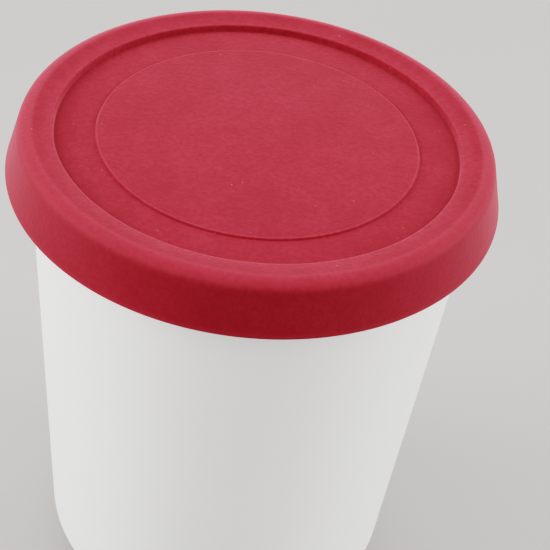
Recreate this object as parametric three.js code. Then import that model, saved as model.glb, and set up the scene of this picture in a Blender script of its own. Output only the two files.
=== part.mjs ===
import * as THREE from "three";

// Ice cream tub, shut: a white tub that tapers to a rounded foot, and a soft red lid lapped over its top.
// Millimetres, +Z up, the origin in the middle of the flat base.

// Facets round the axis
const SIDES = 96;
// Clear space between the lid and the tub
const GAP = 0.3;

// Tub
const TUB_HEIGHT = 135.6;
const BASE_TO_SKIRT = 127.6;
const TUB_RADIUS_AT_SKIRT = 55.8;
// Radius that the wall gains for each millimetre of height
const TUB_TAPER = 0.067;
const FOOT_ROUNDING = 14;
const MOUTH_ROUNDING = 0.8;

// Lid, measured from the skirt's lower edge
const SKIRT_RADIUS = 62.2;
const SHOULDER_RADIUS = 58.6;
const SHOULDER_ROUNDING = 3.4;
const RIM_TOP = 14.3;
const RIM_INNER_EDGE = 13;
const RECESS_RADIUS = 50.5;
const RECESS_FLOOR = 11.1;
const DISC_RADIUS = 40;
const DISC_TOP = 11.7;
const SKIRT_EDGE_ROUNDING = 0.8;
const RIM_EDGE_ROUNDING = 0.5;
const FLOOR_FILLET = 0.35;
// How far the recess wall and the disc's edge lean out of the upright
const RECESS_WALL_LEAN = 0.2;
const DISC_EDGE_LEAN = 0.25;

// Steps along each rounding
const FOOT_STEPS = 12;
const SHOULDER_STEPS = 9;
const SMALL_STEPS = 3;

const rubberRed = new THREE.MeshStandardMaterial({
  color: 0xb23a4c,
  roughness: 0.62,
  metalness: 0,
});
const plasticWhite = new THREE.MeshStandardMaterial({
  color: 0xe9e7e4,
  roughness: 0.42,
  metalness: 0,
});

const point = (radius, height) => new THREE.Vector2(radius, height);

// Rounds the corner at b between a and c with an arc that touches both lines.
function rounded(a, b, c, radius, steps) {
  const toA = a.clone().sub(b).normalize();
  const toC = c.clone().sub(b).normalize();
  const half = Math.acos(toA.dot(toC)) / 2;
  const middle = toA.clone().add(toC).normalize();
  const centre = b.clone().addScaledVector(middle, radius / Math.sin(half));
  const start = b.clone().addScaledVector(toA, radius / Math.tan(half));
  const end = b.clone().addScaledVector(toC, radius / Math.tan(half));
  const from = start.clone().sub(centre);
  const to = end.clone().sub(centre);
  const turn = Math.atan2(from.cross(to), from.dot(to));
  const arc = [];
  for (let i = 0; i <= steps; i += 1) {
    const angle = (turn * i) / steps;
    arc.push(from.clone().rotateAround(point(0, 0), angle).add(centre));
  }
  return arc;
}

// Runs through the corners in turn: each is a point, with a rounding and its steps where it has one.
function profileOf(corners) {
  const path = [];
  corners.forEach(({ at, rounding, steps }, i) => {
    if (rounding) {
      path.push(...rounded(corners[i - 1].at, at, corners[i + 1].at, rounding, steps));
    } else {
      path.push(at);
    }
  });
  return path;
}

// Turns a profile of radius and height round the vertical axis.
function turned(name, corners, material) {
  const geometry = new THREE.LatheGeometry(profileOf(corners), SIDES);
  geometry.rotateX(Math.PI / 2);
  const mesh = new THREE.Mesh(geometry, material);
  mesh.name = name;
  return mesh;
}

// Outside radius of the tub's wall at a height above the base
const wallRadius = (height) => TUB_RADIUS_AT_SKIRT + TUB_TAPER * (height - BASE_TO_SKIRT);

function tubBody() {
  const corners = [
    { at: point(0, 0) },
    { at: point(wallRadius(0), 0), rounding: FOOT_ROUNDING, steps: FOOT_STEPS },
    {
      at: point(wallRadius(TUB_HEIGHT), TUB_HEIGHT),
      rounding: MOUTH_ROUNDING,
      steps: SMALL_STEPS,
    },
    { at: point(0, TUB_HEIGHT) },
  ];
  return turned("tub_body", corners, plasticWhite);
}

// The lid's bore follows the tub's wall, and its outside runs up the skirt, over the rim and into the recess.
function lid() {
  const ceiling = TUB_HEIGHT - BASE_TO_SKIRT + GAP;
  const boreAtEdge = wallRadius(BASE_TO_SKIRT) + GAP;
  const boreAtCeiling = wallRadius(BASE_TO_SKIRT + ceiling) + GAP;
  const softened = { rounding: SKIRT_EDGE_ROUNDING, steps: SMALL_STEPS };
  const corners = [
    { at: point(0, ceiling) },
    { at: point(boreAtCeiling, ceiling) },
    { at: point(boreAtEdge, 0), ...softened },
    { at: point(SKIRT_RADIUS, 0), ...softened },
    {
      at: point(SHOULDER_RADIUS, RIM_TOP),
      rounding: SHOULDER_ROUNDING,
      steps: SHOULDER_STEPS,
    },
    {
      at: point(RECESS_RADIUS, RIM_INNER_EDGE),
      rounding: RIM_EDGE_ROUNDING,
      steps: SMALL_STEPS,
    },
    {
      at: point(RECESS_RADIUS - RECESS_WALL_LEAN, RECESS_FLOOR),
      rounding: FLOOR_FILLET,
      steps: SMALL_STEPS,
    },
    { at: point(DISC_RADIUS + DISC_EDGE_LEAN, RECESS_FLOOR) },
    { at: point(DISC_RADIUS, DISC_TOP) },
    { at: point(0, DISC_TOP) },
  ];
  const cap = turned("lid", corners, rubberRed);
  cap.position.z = BASE_TO_SKIRT;
  return cap;
}

const tub = new THREE.Group();
tub.add(tubBody(), lid());

export default tub;
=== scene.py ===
"""Ice cream tub: a satin white tub shut by a matte red silicone lid, on a plain pale floor."""
import math

import bmesh
import bpy
from mathutils import Matrix, Vector


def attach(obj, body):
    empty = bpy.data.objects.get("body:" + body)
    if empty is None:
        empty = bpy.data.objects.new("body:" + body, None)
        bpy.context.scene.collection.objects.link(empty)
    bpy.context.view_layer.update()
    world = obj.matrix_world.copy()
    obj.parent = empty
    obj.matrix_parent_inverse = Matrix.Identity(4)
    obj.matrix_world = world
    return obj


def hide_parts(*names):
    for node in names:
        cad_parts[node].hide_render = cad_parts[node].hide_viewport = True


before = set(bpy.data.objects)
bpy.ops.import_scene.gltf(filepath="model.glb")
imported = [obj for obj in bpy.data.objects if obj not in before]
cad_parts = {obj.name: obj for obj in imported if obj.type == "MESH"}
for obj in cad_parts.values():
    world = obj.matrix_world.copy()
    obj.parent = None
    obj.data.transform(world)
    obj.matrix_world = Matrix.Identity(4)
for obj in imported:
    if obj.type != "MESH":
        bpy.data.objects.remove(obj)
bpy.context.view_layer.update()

MM = 0.001
TURN = 2 * math.pi

# Tub, in millimetres; the taper is the radius that the wall gains for each millimetre of height
BASE_TO_SKIRT = 127.6
TUB_HEIGHT = 135.6
TUB_RADIUS_AT_SKIRT = 55.8
TUB_TAPER = 0.067
FOOT_ROUNDING = 14
MOUTH_ROUNDING = 0.8

# Lid, in millimetres; heights count from the skirt's lower edge, and the gap is its space to the tub
GAP = 0.3
SKIRT_RADIUS = 62.2
SHOULDER_RADIUS = 58.6
SHOULDER_ROUNDING = 3.4
RIM_TOP = 14.3
RIM_INNER_EDGE = 13
RECESS_RADIUS = 50.5
RECESS_FLOOR = 11.1
DISC_RADIUS = 40
DISC_TOP = 11.7
SKIRT_EDGE_ROUNDING = 0.8
RIM_EDGE_ROUNDING = 0.5
FLOOR_FILLET = 0.35
DISC_EDGE_ROUNDING = 0.15
RECESS_WALL_LEAN = 0.2
DISC_EDGE_LEAN = 0.25

# Facets round the axis, and segments along each rounding
SIDES = 256
FOOT_SEGMENTS = 24
MOUTH_SEGMENTS = 6
BORE_EDGE_SEGMENTS = 5
SKIRT_EDGE_SEGMENTS = 7
SHOULDER_SEGMENTS = 16
RECESS_SEGMENTS = 8
DISC_EDGE_SEGMENTS = 4

# Band that keeps a run straight beside a rounding, and the shortest run that has it, in millimetres
HOLDING_BAND = 0.15
LONG_RUN = 1.2

# Points of a piece that are closer than this become one, in millimetres
WELD_DISTANCE = 0.001

# Bevel profile that makes a circular arc
CIRCULAR = 0.5

# Colours of the lid between the blooms and in full bloom, of the painted shade in its groove, of the
# painted highlights on its edges, and of dust
LID_DEEP = (0.188, 0.0018, 0.0098, 1)
LID_CHALKY = (0.256, 0.0140, 0.0275, 1)
GROOVE_SHADE_COLOUR = (0.118, 0.0018, 0.0068, 1)
EDGE_HIGHLIGHT_COLOUR = (0.320, 0.0280, 0.0440, 1)
DUST = (0.60, 0.25, 0.27, 1)

# Silicone: its soft sheen, its roughness, and how much rougher it is in full bloom and in the groove
SHEEN_WEIGHT = 0.78
SHEEN_ROUGHNESS = 0.43
SHEEN_TINT = (1.0, 0.27, 0.33, 1)
SILICONE_IOR = 1.25
SILICONE_ROUGHNESS = 0.66
ROUGHER_IN_BLOOM = 0.12
ROUGHER_IN_GROOVE = 0.2

# Patterns on the lid: size in millimetres, and the noise levels where each begins and is full
CLOUD = (24, 0.36, 0.64)
PATCH = (7, 0.40, 0.62)
POWDER = (1.3, 0.34, 0.66)
POWDER_ROUGHNESS = 0.7
GRAIN_SIZE = 0.35

# Bump of the lid: its depth in millimetres, and the shares of grain and powder in it
LID_BUMP = 0.04
GRAIN_HEIGHT = 0.5
POWDER_HEIGHT = 0.5

# Shares of the patterns in the bloom, and how much of the bloom the skirt is short of
CLOUD_SHARE = 0.12
PATCH_SHARE = 0.10
POWDER_SHARE = 0.26
POWDER_SHARE_IN_CLOUDS = 0.22
SKIRT_SHORTFALL = 0.45

# Radii between which the skirt begins, the painted groove shade deepens and ends, and the painted
# highlight on the lower edge begins
SKIRT_START = (SHOULDER_RADIUS - 1, SHOULDER_RADIUS + 1)
GROOVE_START = (RECESS_RADIUS - 1.8, RECESS_RADIUS - 0.4)
GROOVE_END = (RECESS_RADIUS - 0.4, RECESS_RADIUS + 0.15)
LOWER_EDGE_HIGHLIGHT_START = (SKIRT_RADIUS - 0.5, SKIRT_RADIUS - 0.3)
GROOVE_SHADE_STRENGTH = 0.65
LOWER_EDGE_HIGHLIGHT_STRENGTH = 0.3

# Rings of painted highlight: inner radius, outer radius, width of the fade on both sides, and
# strength
RIM_HIGHLIGHT_LINE = (RECESS_RADIUS + 0.1, RECESS_RADIUS + 0.45, 0.2, 0.5)
RIM_HIGHLIGHT_HALO = (RECESS_RADIUS + 0.3, RECESS_RADIUS + 1.2, 2.4, 0.35)
DISC_HIGHLIGHT_LINE = (DISC_RADIUS - 0.25, DISC_RADIUS + 0.05, 0.1, 1)
CREST_HIGHLIGHT = (SHOULDER_RADIUS - 2.6, SHOULDER_RADIUS - 0.1, 1.0, 0.85)

# Strength of the painted highlights on the fine lines and on the broad edges: without powder, and
# what powder adds
LINE_HIGHLIGHT_LEVELS = (0.45, 0.4)
EDGE_HIGHLIGHT_LEVELS = (0.55, 0.15)

# Specks of dust: spacing in millimetres, where a speck fades, its strength, and what a patch adds
SPECK_SPACING = 4
SPECK_FADE = (0.025, 0.055)
SPECK_STRENGTH = 0.1
SPECK_STRENGTH_OF_PATCH = 0.4

# Tub's plastic: colours of its faint clouds, and its patterns' sizes and bump in millimetres
TUB_COLOURS = ((0.845, 0.840, 0.832, 1), (0.875, 0.872, 0.866, 1))
TUB_CLOUD_SIZE = 35
TUB_SKIN_SIZE = 1.6
TUB_GRAIN_SIZE = 0.5
TUB_BUMP = 0.012
TUB_SKIN_HEIGHT = 0.6
TUB_GRAIN_HEIGHT = 0.4

# Tub's gloss, and how light spreads in its plastic: share, red, green and blue, depth in millimetres
TUB_ROUGHNESS = 0.36
TUB_SKIN_ROUGHNESS = 0.1
PLASTIC_IOR = 1.46
SPREAD_SHARE = 0.12
SPREAD_COLOUR = (1.0, 0.9, 0.8)
SPREAD_DEPTH = 3

# Floor: colours of its clouds and their size in millimetres, and its radius in metres
FLOOR_COLOURS = ((0.385, 0.370, 0.355, 1), (0.405, 0.390, 0.375, 1))
FLOOR_CLOUD_SIZE = 120
FLOOR_ROUGHNESS = 0.7
FLOOR_RADIUS = 4
FLOOR_SIDES = 96

# Camera, fitted to the lid's and tub's edges in the photograph: millimetres and degrees
FRAME_PIXELS = 550
FOCAL_PIXELS = 1600
SENSOR_WIDTH = 36.0
CAMERA_DISTANCE = 404.0
CAMERA_ELEVATION = 36.009
CAMERA_PAN = -1.162
CAMERA_TILT = -3.456
CAMERA_ROLL = -6.855
NEAREST_SEEN = 10

# Lights: place and width in metres, power in watts
LIGHTS = {
    "left_window": ((-0.95, -0.14, 0.45), 0.8, 12.2),
    "right_window": ((0.95, -0.02, 0.45), 0.8, 8.8),
    "ceiling": ((0, 0.30, 1.10), 1.2, 8.0),
}
LIGHT_AIM = (0, 0, 0.13)
ROOM_LIGHT = 0.67
WHITE = (1, 1, 1, 1)

# A Mix node has several sockets of one name, so the ones for colours go by number
MIX_SHARE = 0
MIX_FIRST = 6
MIX_SECOND = 7
MIX_RESULT = 2


def wall_radius(height):
    """Outside radius of the tub's wall at a height above the base."""
    return TUB_RADIUS_AT_SKIRT + TUB_TAPER * (height - BASE_TO_SKIRT)


def round_corner(bm, corner, rounding, segments):
    """Rounds one corner of the profile with an arc that touches both of its edges."""
    before, after = [edge.other_vert(corner).co - corner.co for edge in corner.link_edges]
    half_angle = before.angle(after) / 2
    bmesh.ops.bevel(bm, geom=[corner], offset=rounding / math.tan(half_angle), offset_type="OFFSET",
                    segments=segments, profile=CIRCULAR, affect="VERTICES", material=-1)


def hold_flats(bm):
    """Adds a narrow band at both ends of each long run, so that smooth shading leaves it straight."""
    for edge in list(bm.edges):
        length = edge.calc_length()
        if length < LONG_RUN * MM:
            continue
        start, end = edge.verts
        share = HOLDING_BAND * MM / length
        far_part, _ = bmesh.utils.edge_split(edge, start, 1 - share)
        # The first split leaves the long part beside one end; the second shortens it at the other.
        long_part = max((far_part, edge), key=lambda part: part.calc_length())
        inner = start if start in long_part.verts else end
        bmesh.utils.edge_split(long_part, inner, share)


def turned_piece(name, corners, lift=0.0):
    """Turns a profile of (radius, height, rounding, segments) corners round the vertical axis."""
    bm = bmesh.new()
    places = [bm.verts.new((radius * MM, 0, (height + lift) * MM)) for radius, height, *_ in corners]
    for first, second in zip(places, places[1:]):
        bm.edges.new((first, second))
    for place, (_, _, rounding, segments) in zip(places, corners):
        if rounding:
            round_corner(bm, place, rounding * MM, segments)
    hold_flats(bm)
    bmesh.ops.spin(bm, geom=bm.verts[:] + bm.edges[:], cent=(0, 0, 0), axis=(0, 0, 1), angle=TURN,
                   steps=SIDES, use_merge=True, use_duplicate=False)
    bmesh.ops.remove_doubles(bm, verts=bm.verts[:], dist=WELD_DISTANCE * MM)
    bmesh.ops.recalc_face_normals(bm, faces=bm.faces[:])
    for face in bm.faces:
        face.smooth = True
    mesh = bpy.data.meshes.new(name)
    bm.to_mesh(mesh)
    bm.free()
    piece = bpy.data.objects.new(name, mesh)
    bpy.context.scene.collection.objects.link(piece)
    return piece


def make_tub():
    corners = [
        (0, 0, 0, 0),
        (wall_radius(0), 0, FOOT_ROUNDING, FOOT_SEGMENTS),
        (wall_radius(TUB_HEIGHT), TUB_HEIGHT, MOUTH_ROUNDING, MOUTH_SEGMENTS),
        (0, TUB_HEIGHT, 0, 0),
    ]
    return turned_piece("tub_shell", corners)


def make_lid():
    """Runs up the bore and the skirt, over the rim, down into the recess and onto the disc."""
    ceiling = TUB_HEIGHT - BASE_TO_SKIRT + GAP
    recess_foot = RECESS_RADIUS - RECESS_WALL_LEAN
    disc_foot = DISC_RADIUS + DISC_EDGE_LEAN
    corners = [
        (0, ceiling, 0, 0),
        (wall_radius(TUB_HEIGHT + GAP) + GAP, ceiling, 0, 0),
        (wall_radius(BASE_TO_SKIRT) + GAP, 0, SKIRT_EDGE_ROUNDING, BORE_EDGE_SEGMENTS),
        (SKIRT_RADIUS, 0, SKIRT_EDGE_ROUNDING, SKIRT_EDGE_SEGMENTS),
        (SHOULDER_RADIUS, RIM_TOP, SHOULDER_ROUNDING, SHOULDER_SEGMENTS),
        (RECESS_RADIUS, RIM_INNER_EDGE, RIM_EDGE_ROUNDING, RECESS_SEGMENTS),
        (recess_foot, RECESS_FLOOR, FLOOR_FILLET, RECESS_SEGMENTS),
        (disc_foot, RECESS_FLOOR, DISC_EDGE_ROUNDING, DISC_EDGE_SEGMENTS),
        (DISC_RADIUS, DISC_TOP, DISC_EDGE_ROUNDING, DISC_EDGE_SEGMENTS),
        (0, DISC_TOP, 0, 0),
    ]
    return turned_piece("silicone_lid", corners, lift=BASE_TO_SKIRT)


class Shade:
    """A node's output that adds Math nodes when it is used in an expression."""

    def __init__(self, finish, socket):
        self.finish = finish
        self.socket = socket

    def maths(self, operation, *terms):
        return self.finish.add("ShaderNodeMath", {"operation": operation}, dict(enumerate(terms)))

    def __add__(self, other):
        return self.maths("ADD", self, other)

    __radd__ = __add__

    def __sub__(self, other):
        return self.maths("SUBTRACT", self, other)

    def __rsub__(self, other):
        return self.maths("SUBTRACT", other, self)

    def __mul__(self, other):
        return self.maths("MULTIPLY", self, other)

    __rmul__ = __mul__

    def ramp(self, low, high):
        """Runs smoothly from 0 at low to 1 at high."""
        sockets = {"Value": self, "From Min": low, "From Max": high}
        return self.finish.add("ShaderNodeMapRange", {"interpolation_type": "SMOOTHSTEP"}, sockets)

    def band(self, low, high, fade, strength):
        """Has its full strength between low and high and fades to 0 on both sides."""
        return self.ramp(low - fade, low) * (1 - self.ramp(high, high + fade)) * strength


class Finish:
    """A material that is built up node by node round one Principled shader."""

    def __init__(self, name, **fixed):
        self.material = bpy.data.materials.new(name)
        self.material.use_nodes = True
        self.tree = self.material.node_tree
        self.shader = next(n for n in self.tree.nodes if n.type == "BSDF_PRINCIPLED")
        self.place = self.add("ShaderNodeTexCoord", {}, {}, "Object")
        self.surface(**fixed)

    def add(self, kind, settings, sockets, output=0):
        node = self.tree.nodes.new(kind)
        for setting, value in settings.items():
            setattr(node, setting, value)
        for name, value in sockets.items():
            self.feed(node.inputs[name], value)
        return Shade(self, node.outputs[output])

    def feed(self, socket, value):
        if isinstance(value, Shade):
            self.tree.links.new(value.socket, socket)
        else:
            socket.default_value = value

    def surface(self, **inputs):
        """Sets the shader's sockets, named with underscores, to numbers, colours or patterns."""
        for socket, value in inputs.items():
            self.feed(self.shader.inputs[socket.replace("_", " ")], value)
        return self.material

    def radius(self):
        """Distance from the upright axis, in millimetres."""
        flatten = {0: self.place, 1: (1, 1, 0)}
        level = self.add("ShaderNodeVectorMath", {"operation": "MULTIPLY"}, flatten)
        length = self.add("ShaderNodeVectorMath", {"operation": "LENGTH"}, {0: level}, "Value")
        return length * (1 / MM)

    def noise(self, size, detail=2.0, roughness=0.5):
        """Soft noise with features of about the given size in millimetres."""
        sockets = {"Vector": self.place, "Scale": 1 / (size * MM)}
        sockets.update({"Detail": detail, "Roughness": roughness})
        return self.add("ShaderNodeTexNoise", {}, sockets, "Fac")

    def pattern(self, size, low, high, roughness=0.5):
        """Noise that is stretched to run from 0 at its level low to 1 at high."""
        return self.noise(size, detail=3, roughness=roughness).ramp(low, high)

    def specks(self, spacing):
        """Distance from the nearest of many scattered points, as a share of their spacing."""
        sockets = {"Vector": self.place, "Scale": 1 / (spacing * MM)}
        return self.add("ShaderNodeTexVoronoi", {}, sockets, "Distance")

    def mix(self, share, first, second):
        """Blends two colours."""
        sockets = {MIX_SHARE: share, MIX_FIRST: first, MIX_SECOND: second}
        return self.add("ShaderNodeMix", {"data_type": "RGBA"}, sockets, MIX_RESULT)

    def bump(self, height, depth):
        """Turns a height pattern into a normal; depth is in millimetres."""
        sockets = {"Height": height, "Distance": depth * MM, "Strength": 1.0}
        return self.add("ShaderNodeBump", {}, sockets, "Normal")


def bloom_share(cloud, patch, powder, skirt):
    """Chalky bloom: powder that gathers in clouds and patches, and less of it on the skirt."""
    powdered = powder * (POWDER_SHARE + (cloud + patch) * POWDER_SHARE_IN_CLOUDS)
    bloom = cloud * CLOUD_SHARE + patch * PATCH_SHARE + powdered
    return bloom * (1 - skirt * SKIRT_SHORTFALL)


def groove_shade_share(radius):
    """Painted shade at the foot of the recess wall and on the recess floor beside it, where the lid
    is painted darker.
    """
    return radius.ramp(*GROOVE_START) * (1 - radius.ramp(*GROOVE_END))


def painted_highlight_share(radius, powder):
    """Painted highlights on the edges, mottled by the powder: fine lines at rim and disc, broad ones
    on the skirt.
    """
    bare, powder_adds = LINE_HIGHLIGHT_LEVELS
    lines = radius.band(*RIM_HIGHLIGHT_LINE) + radius.band(*RIM_HIGHLIGHT_HALO) + radius.band(*DISC_HIGHLIGHT_LINE)
    lines = lines * (bare + powder * powder_adds)
    bare, powder_adds = EDGE_HIGHLIGHT_LEVELS
    edges = radius.band(*CREST_HIGHLIGHT) + radius.ramp(*LOWER_EDGE_HIGHLIGHT_START) * LOWER_EDGE_HIGHLIGHT_STRENGTH
    edges = edges * (bare + powder * powder_adds)
    return lines + edges


def dust_share(finish, patch, skirt):
    """Single specks of dust on the lid's top, clearer on the patches."""
    specks = 1 - finish.specks(SPECK_SPACING).ramp(*SPECK_FADE)
    return specks * (1 - skirt) * (SPECK_STRENGTH + patch * SPECK_STRENGTH_OF_PATCH)


def lid_finish():
    """Matte raspberry silicone with cloudy bloom, painted highlights on its edges, painted shade in
    its groove and specks of dust.
    """
    finish = Finish("raspberry_silicone", Sheen_Weight=SHEEN_WEIGHT, Sheen_Roughness=SHEEN_ROUGHNESS,
                    Sheen_Tint=SHEEN_TINT, IOR=SILICONE_IOR)
    cloud = finish.pattern(*CLOUD)
    patch = finish.pattern(*PATCH)
    powder = finish.pattern(*POWDER, roughness=POWDER_ROUGHNESS)
    radius = finish.radius()
    skirt = radius.ramp(*SKIRT_START)
    bloom = bloom_share(cloud, patch, powder, skirt)
    groove = groove_shade_share(radius)

    colour = finish.mix(bloom, LID_DEEP, LID_CHALKY)
    # Painted shade: the groove at the foot of the recess wall and the floor beside it are darkened
    colour = finish.mix(groove * GROOVE_SHADE_STRENGTH, colour, GROOVE_SHADE_COLOUR)
    # Painted highlights: pale rings along the rim and disc edges, the shoulder crest and the skirt's
    # lower edge
    colour = finish.mix(painted_highlight_share(radius, powder), colour, EDGE_HIGHLIGHT_COLOUR)
    colour = finish.mix(dust_share(finish, patch, skirt), colour, DUST)
    roughness = SILICONE_ROUGHNESS + bloom * ROUGHER_IN_BLOOM + groove * ROUGHER_IN_GROOVE
    height = finish.noise(GRAIN_SIZE) * GRAIN_HEIGHT + powder * POWDER_HEIGHT
    normal = finish.bump(height, LID_BUMP)
    return finish.surface(Base_Color=colour, Roughness=roughness, Normal=normal)


def tub_finish():
    """Satin white moulded plastic, a little warm, with a faint moulding texture."""
    finish = Finish("satin_white_plastic", IOR=PLASTIC_IOR, Subsurface_Weight=SPREAD_SHARE,
                    Subsurface_Radius=SPREAD_COLOUR, Subsurface_Scale=SPREAD_DEPTH * MM)
    skin = finish.noise(TUB_SKIN_SIZE)
    colour = finish.mix(finish.noise(TUB_CLOUD_SIZE), *TUB_COLOURS)
    roughness = TUB_ROUGHNESS + skin * TUB_SKIN_ROUGHNESS
    height = finish.noise(TUB_GRAIN_SIZE) * TUB_GRAIN_HEIGHT + skin * TUB_SKIN_HEIGHT
    normal = finish.bump(height, TUB_BUMP)
    return finish.surface(Base_Color=colour, Roughness=roughness, Normal=normal)


def floor_finish():
    finish = Finish("pale_floor", Roughness=FLOOR_ROUGHNESS)
    colour = finish.mix(finish.noise(FLOOR_CLOUD_SIZE), *FLOOR_COLOURS)
    return finish.surface(Base_Color=colour)


def dress(piece, material):
    piece.data.materials.clear()
    piece.data.materials.append(material)


def make_camera():
    """Looks at the skirt's middle from its elevation, then pans, tilts and rolls."""
    data = bpy.data.cameras.new("camera")
    data.sensor_width = SENSOR_WIDTH
    data.lens = SENSOR_WIDTH * FOCAL_PIXELS / FRAME_PIXELS
    data.clip_start = NEAREST_SEEN * MM
    rise = math.radians(CAMERA_ELEVATION)
    back = Vector((0, -math.cos(rise), math.sin(rise)))
    forward = -back
    right = Vector((1, 0, 0))
    up = right.cross(forward)
    turn = Matrix.Rotation(math.radians(CAMERA_PAN), 3, up)
    forward = turn @ forward
    right = turn @ right
    turn = Matrix.Rotation(math.radians(CAMERA_TILT), 3, right)
    forward = turn @ forward
    up = turn @ up
    turn = Matrix.Rotation(math.radians(CAMERA_ROLL), 3, forward)
    right = turn @ right
    up = turn @ up
    camera = bpy.data.objects.new("camera", data)
    axes = Matrix((right, up, -forward)).transposed().to_4x4()
    place = Vector((0, 0, BASE_TO_SKIRT * MM)) + back * CAMERA_DISTANCE * MM
    camera.matrix_world = Matrix.Translation(place) @ axes
    bpy.context.scene.collection.objects.link(camera)
    bpy.context.scene.camera = camera


def soft_light(name, place, size, watts):
    data = bpy.data.lights.new(name, "AREA")
    data.size = size
    data.energy = watts
    light = bpy.data.objects.new(name, data)
    light.location = place
    light.rotation_euler = (Vector(LIGHT_AIM) - Vector(place)).to_track_quat("-Z", "Y").to_euler()
    bpy.context.scene.collection.objects.link(light)


def make_lights():
    for name, (place, size, watts) in LIGHTS.items():
        soft_light(name, place, size, watts)
    world = bpy.data.worlds.new("room")
    world.use_nodes = True
    background = world.node_tree.nodes["Background"]
    background.inputs["Color"].default_value = WHITE
    background.inputs["Strength"].default_value = ROOM_LIGHT
    bpy.context.scene.world = world
    bpy.context.scene.view_settings.view_transform = "Filmic"
    bpy.context.scene.view_settings.look = "High Contrast"


def make_floor():
    bm = bmesh.new()
    bmesh.ops.create_circle(bm, cap_ends=True, segments=FLOOR_SIDES, radius=FLOOR_RADIUS)
    mesh = bpy.data.meshes.new("floor")
    bm.to_mesh(mesh)
    bm.free()
    floor = bpy.data.objects.new("floor", mesh)
    bpy.context.scene.collection.objects.link(floor)
    dress(floor, floor_finish())


make_camera()
make_lights()
make_floor()

tub = make_tub()
dress(tub, tub_finish())
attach(tub, "root")
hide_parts("tub_body")

lid = make_lid()
dress(lid, lid_finish())
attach(lid, "root")
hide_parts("lid")
